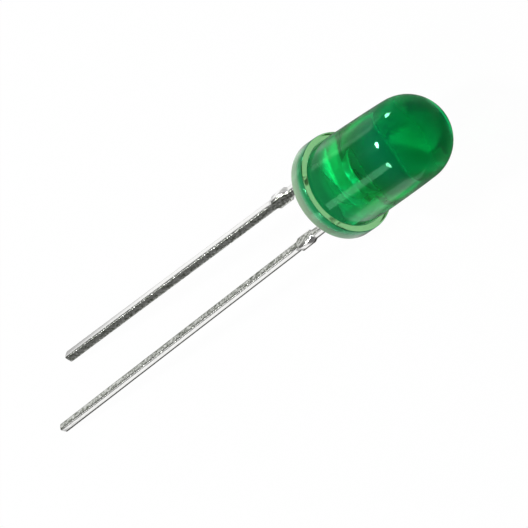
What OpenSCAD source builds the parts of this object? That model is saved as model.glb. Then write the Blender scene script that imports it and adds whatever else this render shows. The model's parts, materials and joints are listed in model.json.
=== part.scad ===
// Round through-hole LED, 5 mm lens, lying at rest on the rim of its flange and the tips of its leads.
// Modelled upright about its own axis: z = 0 is the seating plane, the dome is up, the cathode is at +x.
// The last step lays it down with the dome towards -Y, its origin at the centre of the seating plane.

/* [Lens] */
// Diameter of the lens at its foot, on the flange
lens_foot_d = 5.0; // [4.8:0.05:5.3]
// Diameter of the dome
lens_dome_d = 4.8; // [4.5:0.05:5.0]
// Height from the seating plane to the top of the dome
body_h = 9.2; // [8.0:0.1:11.0]
// Diameter of the flange
flange_d = 5.7; // [5.6:0.05:6.2]
// Thickness of the flange
flange_t = 1.05; // [0.8:0.05:1.5]
// Rounding of the flange's two edges
flange_edge_r = 0.1; // [0.04:0.01:0.2]
// Fillet between the lens and the flange
foot_fillet_r = 0.1; // [0.05:0.01:0.14]

/* [Leads] */
// Distance between the two leads at the seating plane
lead_pitch = 2.54; // [2.4:0.02:2.8]
// Width of a lead, across the pair
lead_w = 0.6; // [0.4:0.01:0.65]
// Thickness of the stamped sheet
lead_t = 0.5; // [0.35:0.01:0.55]
// Length of the cathode lead below the seating plane
cathode_len = 25.3; // [15:0.1:30]
// Length of the anode lead below the seating plane
anode_len = 28.6; // [18:0.1:34]
// Distance below the seating plane over which the leads stay straight
knee_drop = 2.4; // [2.2:0.1:3]
// Angle of both leads towards the anode side below that, in degrees
lean_angle = 1.8; // [0.1:0.1:3]
// Angle by which each lead turns away from the other, in degrees
splay_angle = 0.4; // [0:0.05:1]
// Chamfer on the cut tip of a lead
tip_chamfer = 0.12; // [0.05:0.01:0.18]

/* [Tie bar stubs] */
// Distance from the seating plane down to the stubs
stub_drop = 3.3; // [3:0.1:6]
// Height of a stub, the width of the tie bar
stub_h = 1.4; // [0.8:0.1:2.0]
// How far a stub stands out of the side of its lead
stub_out = 0.12; // [0.05:0.01:0.25]

/* [Reflector cup and anvil] */
// Height of the cup's rim above the seating plane
cup_rim_z = 3.6; // [3.2:0.1:4.5]
// Height of the cup above the anvil's top edge
cup_h = 0.7; // [0.6:0.05:0.9]
// Outer diameter of the cup at its rim
cup_rim_d = 1.4; // [1.3:0.05:1.5]
// Outer diameter of the cup at its base
cup_base_d = 1.1; // [1.0:0.05:1.2]
// Width of the flat rim round the cup
cup_lip = 0.1; // [0.06:0.01:0.14]
// Diameter of the cup's floor
cup_floor_d = 0.6; // [0.55:0.01:0.7]
// Depth of the cup
cup_depth = 0.4; // [0.3:0.02:0.5]
// Height where the anvil's slanted edge leaves the lead
anvil_root_z = 0.9; // [0.6:0.1:1.4]
// Height of the anvil's upright edge beside the post
anvil_nose_h = 0.7; // [0.4:0.1:1.0]
// Gap between the anvil's nose and the post
frame_gap = 0.4; // [0.3:0.02:0.5]

/* [Post] */
// Height of the post's top above the seating plane
post_top_z = 3.45; // [3.2:0.05:3.9]
// Height where the post's anchoring barb starts
barb_root_z = 0.5; // [0.3:0.05:0.8]
// How far the barb reaches towards the axis
barb_out = 0.6; // [0.3:0.05:0.7]
// Height of the barb's lower edge, from root to point
barb_rise = 0.5; // [0.3:0.05:0.6]

/* [Chip and bond wire] */
// Width of the square chip
chip_w = 0.3; // [0.25:0.01:0.36]
// Height of the chip
chip_h = 0.2; // [0.12:0.01:0.24]
// Diameter of the silver epoxy under the chip
attach_d = 0.46; // [0.4:0.01:0.52]
// Thickness of the silver epoxy under the chip
attach_t = 0.03; // [0.02:0.005:0.05]
// Diameter of the bond wire
wire_d = 0.03; // [0.025:0.005:0.05]
// Height of the wire's loop over its two bonds
wire_loop_h = 0.45; // [0.35:0.05:0.55]
// Diameter of the flattened bond at each end of the wire
bond_d = 0.1; // [0.08:0.01:0.14]
// Thickness of the flattened bonds
bond_t = 0.02; // [0.015:0.005:0.03]

/* [Hidden] */

lens_faces = 96;
cup_faces = 64;
small_faces = 32;
overlap = 0.1;            // how far joined shapes run into each other

dome_r = lens_dome_d / 2;
foot_r = lens_foot_d / 2;
flange_r = flange_d / 2;
dome_z = body_h - dome_r; // centre of the dome

// The drafted side of the lens touches the dome at this angle above its equator
side_h = dome_z - flange_t;
tangent_a = acos(dome_r / norm([foot_r, side_h])) - atan2(side_h, foot_r);

cathode_x = lead_pitch / 2;
anode_x = -lead_pitch / 2;
cathode_lean = lean_angle - splay_angle;
anode_lean = lean_angle + splay_angle;

cup_floor_z = cup_rim_z - cup_depth;
anvil_top_z = cup_rim_z - cup_h;
anvil_nose_x = anode_x + lead_w / 2 + frame_gap;
chip_z = cup_floor_z + attach_t;
chip_top_z = chip_z + chip_h;

// The bond wire is one round arc from the chip to the post, seen from the side
wire_start = [0, chip_top_z + bond_t];
wire_end = [anode_x, post_top_z + bond_t];
wire_span = norm(wire_end - wire_start);
wire_r = (pow(wire_span / 2, 2) + pow(wire_loop_h, 2)) / (2 * wire_loop_h);
wire_slope = atan2(wire_start[1] - wire_end[1], wire_start[0] - wire_end[0]);
wire_half_a = 2 * atan(2 * wire_loop_h / wire_span);
wire_centre = (wire_start + wire_end) / 2 - (wire_r - wire_loop_h) * [-sin(wire_slope), cos(wire_slope)];

// Rest pose: the flange's edge and the lowest corner of each tip touch one plane.
// With T the tangent of the tilt and S the sine of the roll, each tip touches when
// tip_x * S + lead_t / 2 * cos(roll) + tip_z * T = flange_r - flange_edge_r * T.
function tip_x(x, lean, len) = x - (len - knee_drop) * sin(lean) + lead_w / 2 - tip_chamfer;
function tip_z(lean, len) = knee_drop + (len - knee_drop) * cos(lean);
cathode_tip = [tip_x(cathode_x, cathode_lean, cathode_len), tip_z(cathode_lean, cathode_len)];
anode_tip = [tip_x(anode_x, anode_lean, anode_len), tip_z(anode_lean, anode_len)];
roll_ratio = (anode_tip[1] - cathode_tip[1]) / (cathode_tip[0] - anode_tip[0]);
function tilt_tangent(roll) =
    (flange_r - lead_t / 2 * cos(roll)) / (cathode_tip[0] * roll_ratio + cathode_tip[1] + flange_edge_r);
first_roll = asin(roll_ratio * tilt_tangent(0));
rest_tilt = atan(tilt_tangent(first_roll));
rest_roll = asin(roll_ratio * tan(rest_tilt));

// Lays the upright part down, with its dome towards -Y
module lying() {
    rotate([90 - rest_tilt, 0, 0])
        rotate([0, 0, -rest_roll])
            children();
}

// A flat outline in x and z, stamped out of the sheet
module stamped() {
    rotate([90, 0, 0])
        linear_extrude(height = lead_t, center = true)
            children();
}

// ---- Lens ----

// Half of the flange's section, its two outer edges rounded
module flange_section() {
    square([flange_r - flange_edge_r, flange_t]);
    translate([0, flange_edge_r])
        square([flange_r, flange_t - 2 * flange_edge_r]);
    for (z = [flange_edge_r, flange_t - flange_edge_r])
        translate([flange_r - flange_edge_r, z])
            circle(r = flange_edge_r, $fn = small_faces);
}

// Half of the section of the drafted side and the dome, which meet without an edge
module barrel_section() {
    side_top = dome_r * [cos(tangent_a), sin(tangent_a)] + [0, dome_z];
    polygon([[0, flange_t - overlap], [foot_r, flange_t - overlap], [foot_r, flange_t], side_top, [0, side_top[1]]]);
    intersection() {
        translate([0, dome_z]) circle(r = dome_r, $fn = lens_faces);
        translate([0, flange_t]) square([flange_d, body_h]);
    }
}

// Fills the corner between the flange and the lens
module foot_fillet_section() {
    difference() {
        translate([foot_r - overlap, flange_t - overlap])
            square(foot_fillet_r + overlap);
        translate([foot_r + foot_fillet_r, flange_t + foot_fillet_r])
            circle(r = foot_fillet_r, $fn = small_faces);
    }
}

module lens_solid() {
    rotate_extrude($fn = lens_faces) {
        flange_section();
        barrel_section();
        foot_fillet_section();
    }
}

// One cast piece of epoxy, moulded round everything that it holds
module lens_body() {
    color([0.05, 0.52, 0.24, 0.75])
        lying()
            difference() {
                lens_solid();
                cathode_solid();
                anode_solid();
                attach_solid();
                chip_solid();
                wire_solid();
            }
}

// ---- Leads ----

// A point beside a leaning lead, given by its distance across and its height along the straightened lead
function beside(x, lean, p) =
    let (up = p[1] + knee_drop)
    [x + p[0] * cos(lean) + up * sin(lean), up * cos(lean) - p[0] * sin(lean) - knee_drop];

// One side of a straightened lead, from its stub down to the middle of its tip
function lead_side(len) = [
    [lead_w / 2, -stub_drop],
    [lead_w / 2 + stub_out, -stub_drop - stub_out],
    [lead_w / 2 + stub_out, -stub_drop - stub_h + stub_out],
    [lead_w / 2, -stub_drop - stub_h],
    [lead_w / 2, -len + tip_chamfer],
    [lead_w / 2 - tip_chamfer, -len]
];

// The outline below the knee: down one side past the stub, round the tip and up the other side
function lead_outline(x, lean, len) =
    let (side = lead_side(len), last = len(side) - 1, mitre = lead_w / 2 * tan(lean / 2))
    concat(
        [[x + lead_w / 2, -knee_drop - mitre]],
        [for (p = side) beside(x, lean, p)],
        [for (i = [last:-1:0]) beside(x, lean, [-side[i][0], side[i][1]])],
        [[x - lead_w / 2, mitre - knee_drop]]
    );

// The reflector cup, coined out of the anvil's top edge
module cup_solid() {
    rotate_extrude($fn = cup_faces)
        polygon([
            [0, anvil_top_z],
            [cup_base_d / 2, anvil_top_z],
            [cup_rim_d / 2, cup_rim_z],
            [cup_rim_d / 2 - cup_lip, cup_rim_z],
            [cup_floor_d / 2, cup_floor_z],
            [0, cup_floor_z]
        ]);
}

// The cathode: a straight lead that widens into the anvil under the cup
module cathode_solid() {
    inner_x = cathode_x - lead_w / 2;
    outer_x = cathode_x + lead_w / 2;
    stamped()
        polygon(concat(
            lead_outline(cathode_x, cathode_lean, cathode_len),
            [
                [inner_x, anvil_root_z],
                [anvil_nose_x, anvil_top_z - anvil_nose_h],
                [anvil_nose_x, anvil_top_z],
                [outer_x - lead_w / 2, anvil_top_z],
                [outer_x, anvil_top_z - lead_w / 2]
            ]
        ));
    cup_solid();
}

// The anode: a straight lead with an anchoring barb, and the post that takes the bond wire
module anode_solid() {
    inner_x = anode_x + lead_w / 2;
    outer_x = anode_x - lead_w / 2;
    stamped()
        polygon(concat(
            lead_outline(anode_x, anode_lean, anode_len),
            [
                [outer_x, post_top_z - lead_w / 3],
                [outer_x + lead_w / 4, post_top_z],
                [inner_x, post_top_z],
                [inner_x, barb_root_z + 2 * barb_rise + barb_out],
                [inner_x + barb_out, barb_root_z + barb_rise],
                [inner_x, barb_root_z]
            ]
        ));
}

module cathode_lead() {
    color([0.78, 0.79, 0.8]) lying() cathode_solid();
}

module anode_lead() {
    color([0.7, 0.71, 0.72]) lying() anode_solid();
}

// ---- Chip and bond wire ----

module attach_solid() {
    translate([0, 0, cup_floor_z])
        cylinder(d = attach_d, h = attach_t, $fn = small_faces);
}

module chip_solid() {
    translate([-chip_w / 2, -chip_w / 2, chip_z])
        cube([chip_w, chip_w, chip_h]);
}

// One arc of round wire, with a flattened bond under each end
module wire_solid() {
    translate([wire_centre[0], 0, wire_centre[1]])
        rotate([90, 0, 0])
            rotate([0, 0, 90 + wire_slope - wire_half_a])
                rotate_extrude(angle = 2 * wire_half_a, $fn = lens_faces)
                    translate([wire_r, 0])
                        circle(d = wire_d, $fn = small_faces);
    for (end = [wire_start, wire_end])
        translate([end[0], 0, end[1] - bond_t])
            cylinder(d = bond_d, h = bond_t, $fn = small_faces);
}

module die_attach() {
    color([0.75, 0.75, 0.77]) lying() attach_solid();
}

module led_chip() {
    color([0.93, 0.85, 0.45]) lying() chip_solid();
}

module bond_wire() {
    color([0.95, 0.78, 0.35]) lying() wire_solid();
}

lens_body();
cathode_lead();
anode_lead();
die_attach();
led_chip();
bond_wire();
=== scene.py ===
import json
import math
import bpy
from mathutils import Matrix, Vector


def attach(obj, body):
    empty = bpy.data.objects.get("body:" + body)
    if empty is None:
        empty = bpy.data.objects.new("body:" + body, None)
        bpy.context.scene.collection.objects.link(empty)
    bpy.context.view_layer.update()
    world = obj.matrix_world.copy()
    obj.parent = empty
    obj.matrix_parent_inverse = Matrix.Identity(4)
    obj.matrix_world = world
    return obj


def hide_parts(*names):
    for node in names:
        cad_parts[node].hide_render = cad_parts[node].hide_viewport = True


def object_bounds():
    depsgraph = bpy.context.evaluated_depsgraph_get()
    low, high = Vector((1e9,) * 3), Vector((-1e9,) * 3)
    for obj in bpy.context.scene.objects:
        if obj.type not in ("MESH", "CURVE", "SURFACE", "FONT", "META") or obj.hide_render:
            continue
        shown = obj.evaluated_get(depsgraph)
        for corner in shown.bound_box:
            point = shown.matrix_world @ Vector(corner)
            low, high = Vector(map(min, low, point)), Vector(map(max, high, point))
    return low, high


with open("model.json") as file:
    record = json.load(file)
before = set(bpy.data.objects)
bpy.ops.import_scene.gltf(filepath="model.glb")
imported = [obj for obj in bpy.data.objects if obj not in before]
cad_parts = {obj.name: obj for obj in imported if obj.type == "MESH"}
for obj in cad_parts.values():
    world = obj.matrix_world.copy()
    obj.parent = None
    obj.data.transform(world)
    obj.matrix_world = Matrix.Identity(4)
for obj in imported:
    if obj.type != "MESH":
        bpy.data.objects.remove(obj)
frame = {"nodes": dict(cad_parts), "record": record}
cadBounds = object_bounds()

mm = 0.001

# where the LED lies: its own upright axes, read from the mounts
mounts = {mount["name"]: mount for mount in frame["record"]["mounts"]}
domeSide = -Vector(mounts["seating_plane"]["axis"]).normalized()
cathodeSide = Vector(mounts["cathode_pin"]["pos_m"]).normalized()
topSide = domeSide.cross(cathodeSide).normalized()
cathodeSide = topSide.cross(domeSide)
lyingDown = Matrix((cathodeSide, topSide, domeSide)).transposed().to_4x4()
asItLies = lyingDown @ Matrix.Scale(mm, 4)   # from upright millimetres to the part's place in metres
restHeight = cadBounds[0][2]
print("pose read, dome points to", [round(value, 3) for value in domeSide])


def hexColour(code):
    # sRGB hex to the linear colour that shaders take
    parts = [int(code[i:i + 2], 16) / 255 for i in (1, 3, 5)]
    linear = [part / 12.92 if part <= 0.04045 else ((part + 0.055) / 1.055) ** 2.4 for part in parts]
    return (*linear, 1.0)


def newMaterial(name):
    material = bpy.data.materials.new(name)
    material.use_nodes = True
    material.node_tree.nodes.clear()
    return material


def addNode(tree, kind, links=None, values=None, **settings):
    # one node: its settings by name, its sockets' values and the outputs that feed them by socket
    node = tree.nodes.new(kind)
    for key, value in settings.items():
        setattr(node, key, value)
    for socket, value in (values or {}).items():
        node.inputs[socket].default_value = value
    for socket, output in (links or {}).items():
        tree.links.new(output, node.inputs[socket])
    return node


def uprightMillimetres(tree):
    # Object coordinates turned back upright, in millimetres, so that a pattern's scale is a real size
    place = addNode(tree, "ShaderNodeTexCoord")
    return addNode(
        tree, "ShaderNodeMapping", {"Vector": place.outputs["Object"]},
        {"Rotation": lyingDown.inverted().to_euler(), "Scale": (1 / mm, 1 / mm, 1 / mm)},
    ).outputs[0]


def editNothingElse():
    if bpy.context.object and bpy.context.object.mode != "OBJECT":
        bpy.ops.object.mode_set(mode="OBJECT")
    bpy.ops.object.select_all(action="DESELECT")


def makeActive(piece):
    editNothingElse()
    piece.select_set(True)
    bpy.context.view_layer.objects.active = piece


def applyModifier(piece, kind, **settings):
    makeActive(piece)
    modifier = piece.modifiers.new(kind.lower(), kind)
    for key, value in settings.items():
        setattr(modifier, key, value)
    bpy.ops.object.modifier_apply(modifier=modifier.name)


def finishPiece(piece, name, material, node, smoothAngle):
    makeActive(piece)
    bpy.ops.object.transform_apply(location=True, rotation=True, scale=True)
    bpy.ops.object.shade_smooth_by_angle(angle=math.radians(smoothAngle))
    piece.data.transform(asItLies)
    piece.name = piece.data.name = name
    piece.data.materials.clear()
    piece.data.materials.append(material)
    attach(piece, "root")
    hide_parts(node)
    print(name, "made,", len(piece.data.polygons), "faces")
    return piece


# lens: one cast piece, turned from its section, sizes in millimetres
lens = {
    "footRadius": 2.498, "domeRadius": 2.397, "height": 9.199,
    "flangeRadius": 2.847, "flangeHeight": 1.05, "edgeRound": 0.1, "footFillet": 0.05,
    "steps": 160, "domeRings": 40, "domeEnd": 89.3, "edgeRings": 6,
    # the side's lean in degrees, and its rings as shares of its height
    "leanFoot": 0.7, "leanDome": 2.2,
    "sideShares": (0.01, 0.1, 0.2, 0.3, 0.4, 0.5, 0.6, 0.7, 0.8, 0.9, 1.0), "smoothAngle": 40,
    # height, colour and clearness of the surface, from the flange's foot up to the dome; the colours are
    # painted glow and shade: pale on the flange, a bright yellow ring at its top edge, darker low on the
    # body
    "rings": (
        (0.0, "#ffffff", 0.9), (0.03, "#ffffff", 0.9), (0.06, "#c6dcc0", 0.45), (0.5, "#b6d6b6", 0.55),
        (0.8, "#59cb7c", 0.9), (1.035, "#4fb36c", 0.9), (1.045, "#fff47c", 0.8), (1.053, "#fff47c", 0.8),
        (1.08, "#309c55", 0.9), (1.9, "#309c58", 0.9), (2.6, "#30ff88", 0.95), (4.6, "#24fc88", 0.95),
        (6.5, "#19fcbc", 0.92),
    ),
    "gloss": 0.085, "ior": 1.53, "edgeSheen": "#4dffb0", "dye": "#89faec", "dyeDensity": 1000,
    # the underside: dull where the resin was filled in, clear at its rim; its darker green tint is painted
    # shade, darkening what is seen through the base
    "fillRadius": 1.85, "fillFade": 0.1, "fillHeight": 0.04, "fillRoughness": 1.0, "fillShadeColour": "#3f8e70",
}


def arc(centre, radius, start, end, steps):
    angles = [math.radians(start + (end - start) * i / steps) for i in range(steps + 1)]
    return [(centre[0] + radius * math.cos(a), centre[1] + radius * math.sin(a)) for a in angles]


def draftedSide(foot, shoulder):
    # the mould's draft at the foot, leaning in more towards the dome, so that the two meet smoothly
    third = (shoulder[1] - foot[1]) / 3
    leanFoot, leanDome = math.tan(math.radians(lens["leanFoot"])), math.tan(math.radians(lens["leanDome"]))
    radii = (foot[0], foot[0] - third * leanFoot, shoulder[0] + third * leanDome, shoulder[0])
    points = []
    for share in lens["sideShares"]:
        back = 1 - share
        weights = (back ** 3, 3 * back * back * share, 3 * back * share * share, share ** 3)
        radius = sum(weight * edge for weight, edge in zip(weights, radii))
        points.append((radius, foot[1] + (shoulder[1] - foot[1]) * share))
    return points


def lensSection():
    # radius and height from the underside, round the flange's edge, up the drafted side and over the dome
    edge, fillet = lens["edgeRound"], lens["footFillet"]
    domeCentre = lens["height"] - lens["domeRadius"]
    rim = lens["flangeRadius"] - edge
    points = [(rim - edge, 0)]
    points += arc((rim, edge), edge, -90, 0, lens["edgeRings"])
    points += arc((rim, lens["flangeHeight"] - edge), edge, 0, 90, lens["edgeRings"])
    filletCentre = (lens["footRadius"] + fillet, lens["flangeHeight"] + fillet)
    points += arc(filletCentre, fillet, 270, 180, lens["edgeRings"])
    dome = arc((0, domeCentre), lens["domeRadius"], lens["leanDome"], lens["domeEnd"], lens["domeRings"])
    points += draftedSide(points[-1], dome[0])
    points += dome[1:]
    return points


def turnedPiece(points, steps):
    # a round face, extruded and resized ring by ring
    editNothingElse()
    radius, height = points[0]
    bpy.ops.mesh.primitive_circle_add(
        vertices=steps, radius=radius, fill_type="NGON", location=(0, 0, height),
    )
    piece = bpy.context.object
    bpy.ops.object.mode_set(mode="EDIT")
    for nextRadius, nextHeight in points[1:]:
        bpy.ops.mesh.extrude_region_move(TRANSFORM_OT_translate={"value": (0, 0, nextHeight - height)})
        grow = nextRadius / radius
        bpy.ops.transform.resize(value=(grow, grow, 1))
        radius, height = nextRadius, nextHeight
    bpy.ops.mesh.select_all(action="SELECT")
    bpy.ops.mesh.normals_make_consistent(inside=False)
    bpy.ops.object.mode_set(mode="OBJECT")
    return piece


def castEpoxy():
    # epoxy with a green dye, cast in a polished mould: deep where it is thick; its colour by height is
    # painted
    # glow and shade: pale and less clear low on the flange, a bright yellow ring at its top edge, darker
    # low on the body
    material = newMaterial("green dyed epoxy with painted glow")
    tree = material.node_tree
    place = uprightMillimetres(tree)
    height = addNode(tree, "ShaderNodeSeparateXYZ", {0: place}).outputs["Z"]
    share = addNode(tree, "ShaderNodeMapRange", {"Value": height}, {"From Max": lens["height"]})
    # painted glow and shade by height, from the rings
    ramp = addNode(tree, "ShaderNodeValToRGB", {"Fac": share.outputs[0]})
    stops = ramp.color_ramp.elements
    while len(stops) < len(lens["rings"]):
        stops.new(1.0)
    for stop, (up, colour, clearness) in zip(stops, lens["rings"]):
        stop.color = (*hexColour(colour)[:3], clearness)
        stop.position = up / lens["height"]
    flat = addNode(tree, "ShaderNodeVectorMath", {0: place}, {1: (1, 1, 0)}, operation="MULTIPLY")
    radius = addNode(tree, "ShaderNodeVectorMath", {0: flat.outputs[0]}, operation="LENGTH")
    within = addNode(
        tree, "ShaderNodeMapRange", {"Value": radius.outputs["Value"]},
        {"From Min": lens["fillRadius"], "From Max": lens["fillRadius"] + lens["fillFade"],
         "To Min": 1, "To Max": 0},
    )
    below = addNode(
        tree, "ShaderNodeMapRange", {"Value": height},
        {"From Min": 0, "From Max": lens["fillHeight"], "To Min": 1, "To Max": 0},
    )
    filled = addNode(
        tree, "ShaderNodeMath", {0: within.outputs[0], 1: below.outputs[0]}, operation="MULTIPLY",
    )
    rough = addNode(
        tree, "ShaderNodeMapRange", {"Value": filled.outputs[0]},
        {"To Min": lens["gloss"], "To Max": lens["fillRoughness"]},
    )
    # painted shade: the rough underside tints what is seen through it a darker green
    colour = addNode(
        tree, "ShaderNodeMix", {"Factor": filled.outputs[0], "A": ramp.outputs["Color"]}, data_type="RGBA",
    )
    colour.inputs["B"].default_value = hexColour(lens["fillShadeColour"])
    clear = addNode(
        tree, "ShaderNodeMath", {0: ramp.outputs["Alpha"], 1: filled.outputs[0]}, operation="MAXIMUM",
    )
    shader = addNode(
        tree, "ShaderNodeBsdfPrincipled",
        {"Base Color": colour.outputs["Result"], "Roughness": rough.outputs[0],
         "Transmission Weight": clear.outputs[0]},
        {"IOR": lens["ior"], "Specular Tint": hexColour(lens["edgeSheen"])},
    )
    dye = addNode(
        tree, "ShaderNodeVolumeAbsorption", None,
        {"Color": hexColour(lens["dye"]), "Density": lens["dyeDensity"]},
    )
    addNode(tree, "ShaderNodeOutputMaterial", {"Surface": shader.outputs[0], "Volume": dye.outputs[0]})
    return material


lensPiece = turnedPiece(lensSection(), lens["steps"])
finishPiece(lensPiece, "lens", castEpoxy(), "lens_body", lens["smoothAngle"])


# leads: stamped from one sheet and dipped in tin, sizes in millimetres and angles in degrees
lead = {
    "thickness": 0.48, "corner": 0.1, "cornerSteps": 6, "cornerProfile": 0.5,
    "top": 0.6, "headFrom": 0.3, "headEdge": 0.03, "headSteps": 2, "headAngle": 35,
    "mergeWithin": 0.001, "flatWithin": 1, "kneeDrop": 2.4, "twistOver": 2.4, "rise": 0.05,
    "stubDrop": 3.3, "stubHeight": 1.4, "stubOut": 0.14, "tipRound": 0.12, "tipAngle": 80, "tipSteps": 4,
    "upperSpacing": 0.3, "lowerSpacing": 0.5, "tinWaves": 0.008, "waveLength": 2.5, "smoothAngle": 50,
}
cathode = {"x": 1.27, "length": 25.3, "width": 0.5, "lean": 1.4, "twist": 37.0, "torn": 0.1}
anode = {"x": -1.27, "length": 28.6, "width": 0.4, "lean": 2.2, "twist": -33.0, "torn": 0.18}


def leadRings(length):
    # height and added width of each ring down a straightened lead: to the stub, round it and on to the tip
    stubTop, stubEnd = -lead["stubDrop"], -lead["stubDrop"] - lead["stubHeight"]
    out, tip = lead["stubOut"], lead["tipRound"]
    upper = round((lead["headFrom"] - stubTop) / lead["upperSpacing"])
    rings = [(lead["headFrom"] - lead["upperSpacing"] * i, 0) for i in range(upper + 1)]
    rings += [(stubTop - out, 2 * out), (stubEnd + out, 2 * out), (stubEnd, 0)]
    lower = math.ceil((stubEnd + length - tip) / lead["lowerSpacing"])
    step = (stubEnd + length - tip) / lower
    rings += [(stubEnd - step * i, 0) for i in range(1, lower + 1)]
    for i in range(1, lead["tipSteps"] + 1):
        angle = math.radians(lead["tipAngle"] * i / lead["tipSteps"])
        rings.append((-length + tip * (1 - math.sin(angle)), -2 * tip * (1 - math.cos(angle))))
    return rings


def leadBar(size):
    # the strip's rounded section drawn down ring by ring, with soft waves in its tin
    editNothingElse()
    bpy.ops.mesh.primitive_plane_add(size=1, location=(0, 0, lead["top"]))
    bar = bpy.context.object
    bpy.ops.object.mode_set(mode="EDIT")
    bpy.ops.transform.resize(value=(size["width"], lead["thickness"], 1))
    bpy.ops.mesh.bevel(
        affect="VERTICES", offset=lead["corner"], segments=lead["cornerSteps"],
        profile=lead["cornerProfile"],
    )
    height, across, through = lead["top"], size["width"], lead["thickness"]
    for nextHeight, added in leadRings(size["length"]):
        nextAcross = size["width"] + added
        nextThrough = lead["thickness"] + min(added, 0)
        bpy.ops.mesh.extrude_region_move(TRANSFORM_OT_translate={"value": (0, 0, nextHeight - height)})
        bpy.ops.transform.resize(value=(nextAcross / across, nextThrough / through, 1))
        height, across, through = nextHeight, nextAcross, nextThrough
    bpy.ops.mesh.select_all(action="SELECT")
    bpy.ops.mesh.normals_make_consistent(inside=False)
    bpy.ops.object.mode_set(mode="OBJECT")
    waves = bpy.data.textures.new("tinWaves", "CLOUDS")
    waves.noise_scale = lead["waveLength"]
    applyModifier(
        bar, "DISPLACE", texture=waves, strength=lead["tinWaves"], mid_level=0.5,
        texture_coords="LOCAL",
    )
    return bar


def leadHead(node, size):
    # the anvil and cup, or the post, from the solid's own outline, with softened edges
    editNothingElse()
    head = frame["nodes"][node].copy()
    head.data = frame["nodes"][node].data.copy()
    head.parent = None
    bpy.context.scene.collection.objects.link(head)
    for key in list(head.keys()):
        del head[key]
    head.data.transform(Matrix.Translation((-size["x"], 0, 0)) @ asItLies.inverted())
    makeActive(head)
    bpy.ops.object.mode_set(mode="EDIT")
    bpy.ops.mesh.select_all(action="SELECT")
    bpy.ops.mesh.remove_doubles(threshold=lead["mergeWithin"])
    bpy.ops.mesh.bisect(
        plane_co=(0, 0, lead["headFrom"]), plane_no=(0, 0, 1), use_fill=True, clear_inner=True,
    )
    bpy.ops.mesh.select_all(action="SELECT")
    bpy.ops.mesh.dissolve_limited(angle_limit=math.radians(lead["flatWithin"]))
    bpy.ops.object.mode_set(mode="OBJECT")
    applyModifier(
        head, "BEVEL", width=lead["headEdge"], segments=lead["headSteps"], limit_method="ANGLE",
        angle_limit=math.radians(lead["headAngle"]),
    )
    return head


def markSection(bar, size):
    # how far from the strip's middle and how far above the torn edge each point is, for the finish
    section = bar.data.attributes.new("section", "FLOAT_VECTOR", "POINT")
    for point, vertex in zip(section.data, bar.data.vertices):
        through = vertex.co.y
        point.vector = (abs(through), through + lead["thickness"] / 2 - size["torn"], 0)


def bendLead(bar, size):
    # twisted under the lens, leaning outwards from the knee
    knee = Vector((0, 0, -lead["kneeDrop"]))
    leaning = Matrix.Rotation(math.radians(size["lean"]), 4, "Y")
    for vertex in bar.data.vertices:
        share = min(max((lead["headFrom"] - vertex.co.z) / lead["twistOver"], 0), 1)
        turn = math.radians(size["twist"]) * share * share * (3 - 2 * share)
        vertex.co = Matrix.Rotation(turn, 4, "Z") @ vertex.co
        if vertex.co.z < knee.z:
            vertex.co = knee + leaning @ (vertex.co - knee)
        vertex.co.x += size["x"]
        vertex.co.y += lead["rise"] * max(-vertex.co.z / size["length"], 0)


def makeLead(name, node, size, material):
    bar = leadBar(size)
    head = leadHead(node, size)
    applyModifier(bar, "BOOLEAN", operation="UNION", solver="EXACT", object=head)
    bpy.data.objects.remove(head)
    markSection(bar, size)
    bendLead(bar, size)
    return finishPiece(bar, name, material, node, lead["smoothAngle"])


# dipped tin: bright on the cut sides, lumpy and mottled on the rolled faces, dull along the torn edge
tinCoat = {
    "cut": "#f6f6f4", "rolledPale": "#eff1eb", "rolledDull": "#7c8274", "torn": "#55554f",
    "rolledFrom": 0.18, "rolledTo": 0.225, "tornFade": 0.03,
    "patchesPerMm": 8, "patchDetail": 4.0, "stretch": 0.6, "patchFrom": 0.35, "patchTo": 0.6,
    "glossRoughness": 0.1, "dullRoughness": 0.24, "tornRoughness": 0.45, "plateRoughness": 0.3,
    "grainsPerMm": 6, "grainDetail": 3.0, "grainDepth": 0.04, "cutStrength": 0.1, "rolledStrength": 0.5,
    "lensFade": 0.1,
}


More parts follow.
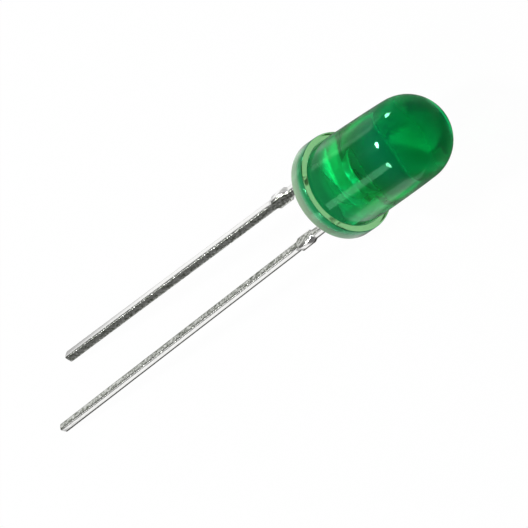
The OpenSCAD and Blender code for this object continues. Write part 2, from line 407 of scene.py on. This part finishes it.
def dippedTin():
    # steel strip, stamped and dipped in tin: a mirror that flickers where the tin ran, evenly dull
    # inside the lens
    material = newMaterial("hot dipped tin on stamped steel")
    tree = material.node_tree
    place = uprightMillimetres(tree)
    section = addNode(tree, "ShaderNodeAttribute", attribute_name="section")
    part = addNode(tree, "ShaderNodeSeparateXYZ", {0: section.outputs["Vector"]}).outputs
    height = addNode(tree, "ShaderNodeSeparateXYZ", {0: place}).outputs["Z"]
    outside = addNode(
        tree, "ShaderNodeMapRange", {"Value": height},
        {"From Max": tinCoat["lensFade"], "To Min": 1, "To Max": 0},
    )
    rolled = addNode(
        tree, "ShaderNodeMapRange", {"Value": part["X"]},
        {"From Min": tinCoat["rolledFrom"], "From Max": tinCoat["rolledTo"]},
    )
    torn = addNode(
        tree, "ShaderNodeMapRange", {"Value": part["Y"], "To Min": outside.outputs[0]},
        {"From Min": -tinCoat["tornFade"], "From Max": 0, "To Max": 0},
    )
    runs = addNode(tree, "ShaderNodeMapping", {"Vector": place}, {"Scale": (1, 1, tinCoat["stretch"])})
    patches = addNode(
        tree, "ShaderNodeTexNoise", {"Vector": runs.outputs[0]},
        {"Scale": tinCoat["patchesPerMm"], "Detail": tinCoat["patchDetail"]},
    )
    dull = addNode(
        tree, "ShaderNodeMapRange", {"Value": patches.outputs["Fac"], "To Min": outside.outputs[0]},
        {"From Min": tinCoat["patchFrom"], "From Max": tinCoat["patchTo"], "To Max": 0},
    )
    face = addNode(tree, "ShaderNodeMix", {"Factor": dull.outputs[0]}, data_type="RGBA")
    face.inputs["A"].default_value = hexColour(tinCoat["rolledPale"])
    face.inputs["B"].default_value = hexColour(tinCoat["rolledDull"])
    side = addNode(tree, "ShaderNodeMix", {"Factor": torn.outputs[0]}, data_type="RGBA")
    side.inputs["A"].default_value = hexColour(tinCoat["cut"])
    side.inputs["B"].default_value = hexColour(tinCoat["torn"])
    colour = addNode(
        tree, "ShaderNodeMix",
        {"Factor": rolled.outputs[0], "A": side.outputs["Result"], "B": face.outputs["Result"]},
        data_type="RGBA",
    )
    coat = addNode(
        tree, "ShaderNodeMapRange", {"Value": dull.outputs[0]},
        {"To Min": tinCoat["glossRoughness"], "To Max": tinCoat["dullRoughness"]},
    )
    edge = addNode(
        tree, "ShaderNodeMapRange", {"Value": torn.outputs[0], "To Min": coat.outputs[0]},
        {"To Max": tinCoat["tornRoughness"]},
    )
    rough = addNode(
        tree, "ShaderNodeMapRange", {"Value": outside.outputs[0], "To Max": edge.outputs[0]},
        {"To Min": tinCoat["glossRoughness"] + tinCoat["plateRoughness"]},
    )
    grain = addNode(
        tree, "ShaderNodeTexNoise", {"Vector": place},
        {"Scale": tinCoat["grainsPerMm"], "Detail": tinCoat["grainDetail"]},
    )
    lumps = addNode(
        tree, "ShaderNodeMath", {0: rolled.outputs[0], 1: outside.outputs[0]}, operation="MULTIPLY",
    )
    strength = addNode(
        tree, "ShaderNodeMapRange", {"Value": lumps.outputs[0]},
        {"To Min": tinCoat["cutStrength"], "To Max": tinCoat["rolledStrength"]},
    )
    bump = addNode(
        tree, "ShaderNodeBump", {"Height": grain.outputs["Fac"], "Strength": strength.outputs[0]},
        {"Distance": tinCoat["grainDepth"] * mm},
    )
    shader = addNode(
        tree, "ShaderNodeBsdfPrincipled",
        {"Base Color": colour.outputs["Result"], "Roughness": rough.outputs[0], "Normal": bump.outputs[0]},
        {"Metallic": 1.0},
    )
    addNode(tree, "ShaderNodeOutputMaterial", {"Surface": shader.outputs[0]})
    return material


tin = dippedTin()
makeLead("cathodeLead", "cathode_lead", cathode, tin)
makeLead("anodeLead", "anode_lead", anode, tin)


# chip, its glue and the bond wire: the solids as they are, with a fine grain, counted per millimetre
innerGrain = {"detail": 2.0, "from": 0.3, "to": 0.7}
innerFinishes = {
    "die_attach": {
        # silver flakes in resin: dull grey with a metal sparkle
        "name": "silver filled epoxy", "dark": "#8f8f93", "pale": "#cfcfd2",
        "metallic": 0.6, "smooth": 0.4, "rough": 0.6, "perMm": 40, "stretch": (1, 1, 1),
    },
    "led_chip": {
        # sawn from a wafer: yellowish and half glossy, with saw marks across its sides
        "name": "sawn crystal", "dark": "#b9a94e", "pale": "#ded07a",
        "metallic": 0.0, "smooth": 0.15, "rough": 0.4, "perMm": 30, "stretch": (0.1, 0.1, 1),
    },
    "bond_wire": {
        # drawn through a die: bright gold with faint lines
        "name": "drawn gold wire", "dark": "#dcae58", "pale": "#f3cd84",
        "metallic": 1.0, "smooth": 0.15, "rough": 0.3, "perMm": 60, "stretch": (1, 1, 0.2),
    },
}


def innerFinish(look):
    material = newMaterial(look["name"])
    tree = material.node_tree
    place = uprightMillimetres(tree)
    along = addNode(tree, "ShaderNodeMapping", {"Vector": place}, {"Scale": look["stretch"]})
    grain = addNode(
        tree, "ShaderNodeTexNoise", {"Vector": along.outputs[0]},
        {"Scale": look["perMm"], "Detail": innerGrain["detail"]},
    )
    colour = addNode(tree, "ShaderNodeMix", {"Factor": grain.outputs["Fac"]}, data_type="RGBA")
    colour.inputs["A"].default_value = hexColour(look["dark"])
    colour.inputs["B"].default_value = hexColour(look["pale"])
    rough = addNode(
        tree, "ShaderNodeMapRange", {"Value": grain.outputs["Fac"]},
        {"From Min": innerGrain["from"], "From Max": innerGrain["to"],
         "To Min": look["smooth"], "To Max": look["rough"]},
    )
    shader = addNode(
        tree, "ShaderNodeBsdfPrincipled",
        {"Base Color": colour.outputs["Result"], "Roughness": rough.outputs[0]},
        {"Metallic": look["metallic"]},
    )
    addNode(tree, "ShaderNodeOutputMaterial", {"Surface": shader.outputs[0]})
    return material


for node, look in innerFinishes.items():
    solid = frame["nodes"][node]
    solid.data.materials.clear()
    solid.data.materials.append(innerFinish(look))
print("chip, silver epoxy and wire dressed")


# camera: above the lens's axis, tipped towards the dome, sizes in millimetres and angles in degrees
view = {
    "towardsDome": 48.5, "turn": 6.5, "roll": 34.464, "distance": 1000,
    "pictureWidth": 27.53, "domeRight": 7.486, "domeUp": 6.477, "sensor": 36.0, "nearest": 10,
}


def aim():
    # across the picture, up it, and out of it towards the camera
    tip, turn, roll = (math.radians(view[key]) for key in ("towardsDome", "turn", "roll"))
    sideways = topSide * math.cos(turn) - cathodeSide * math.sin(turn)
    outward = sideways * math.cos(tip) + domeSide * math.sin(tip)
    along = (domeSide - outward * math.sin(tip)).normalized()
    across = along.cross(outward)
    right = along * math.cos(roll) + across * math.sin(roll)
    up = along * math.sin(roll) - across * math.cos(roll)
    return right, up, outward


def addCamera():
    right, up, outward = aim()
    data = bpy.data.cameras.new("camera")
    data.sensor_width = view["sensor"]
    data.lens = view["sensor"] * view["distance"] / view["pictureWidth"]
    data.clip_start = view["nearest"] * mm
    camera = bpy.data.objects.new("camera", data)
    bpy.context.scene.collection.objects.link(camera)
    domeCentre = domeSide * (lens["height"] - lens["domeRadius"])
    place = domeCentre - right * view["domeRight"] - up * view["domeUp"] + outward * view["distance"]
    turned = Matrix((right, up, outward)).transposed().to_4x4()
    camera.matrix_world = Matrix.Translation(place * mm) @ turned
    bpy.context.scene.camera = camera


# floor: white paper, with painted shadow and shade for what the lens and leads mirror or see through;
# places are upright millimetres, across from the lens's axis and along it
paper = {
    "size": 6, "paintedShadeTone": 0.25, "seen": 0.9, "glow": 0.98,
    "mirrored": 1.0, "mirroredDark": 0.0, "darkFrom": -5.0, "darkTo": -2.0,
    "shadowMiddle": 1.0, "shadowHalf": 2.6, "shadowEdge": 3.8, "shadowShare": 0.3,
    "paleEnd": 7.0, "greyFrom": 12.0, "greyShare": 0.3,
    "through": 0.85, "throughDark": 0.05, "throughEnd": 1.6,
}


def addFloor():
    editNothingElse()
    bpy.ops.mesh.primitive_plane_add(size=paper["size"], location=(0, 0, restHeight))
    floor = bpy.context.object
    bpy.ops.object.transform_apply(location=True, rotation=True, scale=True)
    floor.name = "floor"
    material = newMaterial("white paper floor")
    tree = material.node_tree
    path = addNode(tree, "ShaderNodeLightPath").outputs
    upright = addNode(tree, "ShaderNodeSeparateXYZ", {0: uprightMillimetres(tree)}).outputs
    # the camera sees it white; mirrored it glows white behind the lens, and near it, along the leads and
    # far out on the cathode's side it has a painted shadow, where only the darker matt paper with its real
    # shadow shows
    seen = addNode(
        tree, "ShaderNodeMath", {0: path["Is Camera Ray"]}, {1: paper["glow"]}, operation="MULTIPLY",
    )
    behind = addNode(
        tree, "ShaderNodeMapRange", {"Value": upright["Z"]},
        {"From Min": paper["darkFrom"], "From Max": paper["darkTo"],
         "To Min": paper["mirrored"], "To Max": paper["mirroredDark"]},
    )
    moved = addNode(tree, "ShaderNodeMath", {0: upright["X"]}, {1: paper["shadowMiddle"]}, operation="ADD")
    aside = addNode(tree, "ShaderNodeMath", {0: moved.outputs[0]}, operation="ABSOLUTE")
    unshaded = addNode(
        tree, "ShaderNodeMapRange", {"Value": aside.outputs[0]},
        {"From Min": paper["shadowHalf"], "From Max": paper["shadowEdge"], "To Min": paper["shadowShare"]},
    )
    near = addNode(
        tree, "ShaderNodeMapRange", {"Value": upright["X"]},
        {"From Min": paper["paleEnd"], "From Max": paper["greyFrom"],
         "To Min": 1, "To Max": paper["greyShare"]},
    )
    pale = addNode(
        tree, "ShaderNodeMath", {0: unshaded.outputs[0], 1: near.outputs[0]}, operation="MULTIPLY",
    )
    beside = addNode(
        tree, "ShaderNodeMath", {0: behind.outputs[0], 1: pale.outputs[0]}, operation="MULTIPLY",
    )
    mirrored = addNode(
        tree, "ShaderNodeMath", {0: path["Is Glossy Ray"], 1: beside.outputs[0]}, operation="MULTIPLY",
    )
    direct = addNode(
        tree, "ShaderNodeMath", {0: seen.outputs[0], 1: mirrored.outputs[0]}, operation="MAXIMUM",
    )
    # through the lens it glows pale behind the flange, and further on, under the body, it has a painted
    # shadow
    through = addNode(
        tree, "ShaderNodeMapRange", {"Value": upright["Z"]},
        {"From Max": paper["throughEnd"], "To Min": paper["through"], "To Max": paper["throughDark"]},
        interpolation_type="SMOOTHSTEP",
    )
    share = addNode(
        tree, "ShaderNodeMix",
        {"Factor": path["Is Transmission Ray"], "A": direct.outputs[0], "B": through.outputs[0]},
        data_type="FLOAT",
    )
    # painted shade: every ray but the camera's sees the paper darker
    tone = addNode(
        tree, "ShaderNodeMapRange", {"Value": path["Is Camera Ray"]},
        {"To Min": paper["paintedShadeTone"], "To Max": paper["seen"]},
    )
    matt = addNode(tree, "ShaderNodeBsdfDiffuse", {"Color": tone.outputs[0]})
    glow = addNode(tree, "ShaderNodeEmission")
    mix = addNode(
        tree, "ShaderNodeMixShader", {0: share.outputs[0], 1: matt.outputs[0], 2: glow.outputs[0]},
    )
    addNode(tree, "ShaderNodeOutputMaterial", {"Surface": mix.outputs[0]})
    floor.data.materials.append(material)


# light: round lamps at half a metre, directions across, up and along the upright LED, sizes in metres
lamps = {
    "lampLeft": {"from": (0.987, 0.19, -0.022), "size": 0.096, "watts": 0.75},
    "lampBackLeft": {"from": (0.329, 0.777, -0.536), "size": 0.096, "watts": 2.2},
    "lampBack": {"from": (-0.375, 0.655, -0.53), "size": 0.096, "watts": 0.55},
    "lampStrip": {"from": (-0.36, 0.6, -0.71), "size": 0.11, "watts": 0.06},
}
lampDistance = 0.5
# a dim grey room with a pale band low behind the LED, its height and reach as shares of a direction
room = {
    "grey": 0.15, "band": 0.8, "bandLeft": 0.25, "leftFrom": -0.2, "leftTo": 0.3,
    "bandTop": 0.08, "bandEnd": 0.18, "behindFrom": 0.2, "behindTo": 0.5,
}


def addLamp(name, lamp):
    data = bpy.data.lights.new(name, "AREA")
    data.shape = "DISK"
    data.size = lamp["size"]
    data.energy = lamp["watts"]
    across, up, along = lamp["from"]
    towards = (cathodeSide * across + topSide * up + domeSide * along).normalized()
    holder = bpy.data.objects.new(name, data)
    bpy.context.scene.collection.objects.link(holder)
    holder.location = towards * lampDistance
    holder.rotation_euler = towards.to_track_quat("Z", "Y").to_euler()


def addWorld():
    world = bpy.data.worlds.new("studio")
    bpy.context.scene.world = world
    world.use_nodes = True
    tree = world.node_tree
    tree.nodes.clear()
    direction = addNode(tree, "ShaderNodeTexCoord")
    sides = addNode(tree, "ShaderNodeSeparateXYZ", {0: direction.outputs["Generated"]}).outputs
    low = addNode(
        tree, "ShaderNodeMapRange", {"Value": sides["Z"]},
        {"From Min": room["bandTop"], "From Max": room["bandEnd"], "To Min": room["band"], "To Max": 0.0},
        interpolation_type="SMOOTHSTEP",
    )
    behind = addNode(
        tree, "ShaderNodeMapRange", {"Value": sides["Y"]},
        {"From Min": room["behindFrom"], "From Max": room["behindTo"]}, interpolation_type="SMOOTHSTEP",
    )
    across = addNode(
        tree, "ShaderNodeMapRange", {"Value": sides["X"]},
        {"From Min": room["leftFrom"], "From Max": room["leftTo"], "To Min": room["bandLeft"]},
    )
    reach = addNode(
        tree, "ShaderNodeMath", {0: behind.outputs[0], 1: across.outputs[0]}, operation="MULTIPLY",
    )
    band = addNode(tree, "ShaderNodeMath", {0: low.outputs[0], 1: reach.outputs[0]}, operation="MULTIPLY")
    total = addNode(tree, "ShaderNodeMath", {0: band.outputs[0]}, {1: room["grey"]}, operation="ADD")
    background = addNode(
        tree, "ShaderNodeBackground", {"Strength": total.outputs[0]}, {"Color": (1, 1, 1, 1)},
    )
    addNode(tree, "ShaderNodeOutputWorld", {"Surface": background.outputs[0]})


addCamera()
addFloor()
for name, lamp in lamps.items():
    addLamp(name, lamp)
addWorld()
bpy.context.scene.view_settings.view_transform = "Standard"
print("camera, floor and light set")
